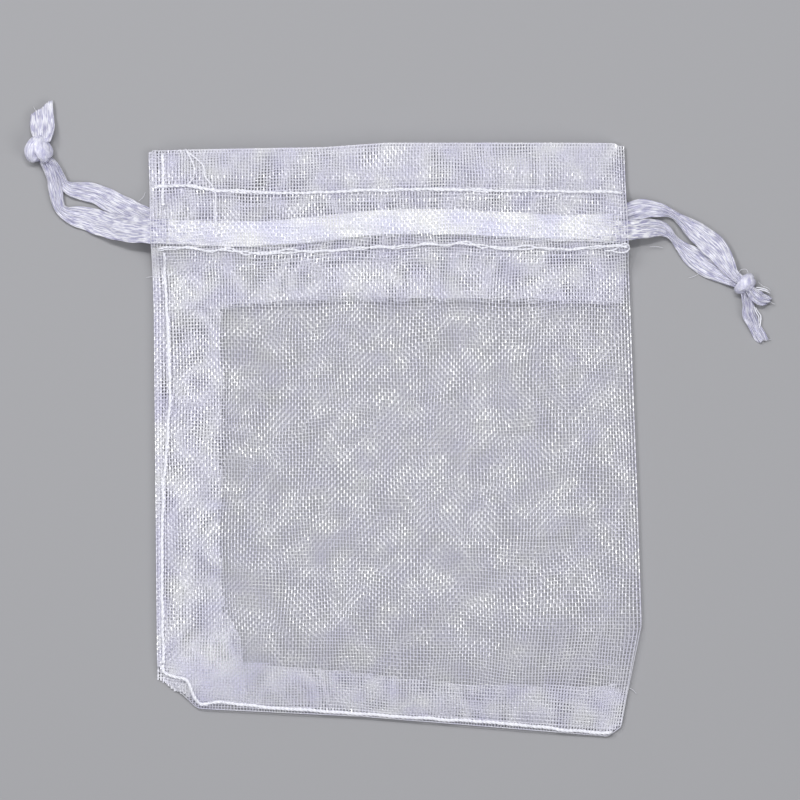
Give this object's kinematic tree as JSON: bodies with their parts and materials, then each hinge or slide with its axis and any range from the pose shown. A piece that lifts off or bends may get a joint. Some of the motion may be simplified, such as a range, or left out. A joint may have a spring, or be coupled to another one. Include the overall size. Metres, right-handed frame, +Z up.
{
  "type": "drawstring gift pouch",
  "caption": "Small sheer organza pouch lying flat, with a stitched channel at the mouth and satin drawstring ribbons knotted into a loop at each side.",
  "frame": {"origin": "on the resting surface, under the middle of the pouch without its free ribbon loops", "axes": "+Y from the bottom seam to the mouth, +X from the sewn side to the folded side, +Z up out of the front panel"},
  "size_m": [0.1134, 0.0965, 0.0047],
  "materials": {
    "organza": "sheer plain weave with a pearly sheen",
    "satin_ribbon": "bright satin",
    "sewing_thread": "soft twisted thread"
  },
  "bodies": {
    "pouch_back": {"back_panel": "organza", "right_fold_lower": "organza", "right_fold_upper": "organza", "back_hem_facing": "organza", "side_allowance_back": "organza", "side_allowance_front": "organza", "bottom_allowance_back": "organza", "bottom_allowance_front": "organza", "side_seam_stitching_lower": "sewing_thread", "side_seam_stitching_upper": "sewing_thread", "bottom_seam_stitching": "sewing_thread", "back_upper_stitching": "sewing_thread", "back_lower_stitching": "sewing_thread", "left_ribbon_bight": "satin_ribbon", "right_ribbon_bight": "satin_ribbon"},
    "pouch_front": {"front_panel": "organza", "front_hem_facing": "organza", "front_upper_stitching": "sewing_thread", "front_lower_stitching": "sewing_thread"},
    "left_ribbon": {"left_ribbon_back_strand": "satin_ribbon", "left_loop_back_strand": "satin_ribbon", "left_loop_front_strand": "satin_ribbon", "left_knot": "satin_ribbon", "left_tail_over": "satin_ribbon", "left_tail_under": "satin_ribbon"},
    "left_front_strand": {"left_ribbon_front_strand": "satin_ribbon"},
    "right_ribbon": {"right_ribbon_back_strand": "satin_ribbon", "right_loop_back_strand": "satin_ribbon", "right_loop_front_strand": "satin_ribbon", "right_knot": "satin_ribbon", "right_tail_long": "satin_ribbon", "right_tail_short": "satin_ribbon"},
    "right_front_strand": {"right_ribbon_front_strand": "satin_ribbon"}
  },
  "joints": [
    {"name": "mouth_opening", "type": "hinge", "parent": "pouch_back", "child": "pouch_front", "pos_m": [0, -0.0454, 0.0046], "axis": [-1, 0, 0], "range_deg": [-10, 0]},
    {"name": "left_pull", "type": "slide", "parent": "pouch_back", "child": "left_ribbon", "axis": [-1, 0, 0], "range_m": [0, 0.025]},
    {"name": "left_strand_lift", "type": "hinge", "parent": "left_ribbon", "child": "left_front_strand", "pos_m": [0, -0.0454, 0.0046], "axis": [-1, 0, 0], "range_deg": [-10, 0]},
    {"name": "right_pull", "type": "slide", "parent": "pouch_back", "child": "right_ribbon", "axis": [1, 0, 0], "range_m": [0, 0.025]},
    {"name": "right_strand_lift", "type": "hinge", "parent": "right_ribbon", "child": "right_front_strand", "pos_m": [0, -0.0454, 0.0046], "axis": [-1, 0, 0], "range_deg": [-10, 0]}
  ],
  "couplings": [
    {"joint": "left_strand_lift", "follows": "mouth_opening", "ratio": 1},
    {"joint": "right_strand_lift", "follows": "mouth_opening", "ratio": 1}
  ]
}
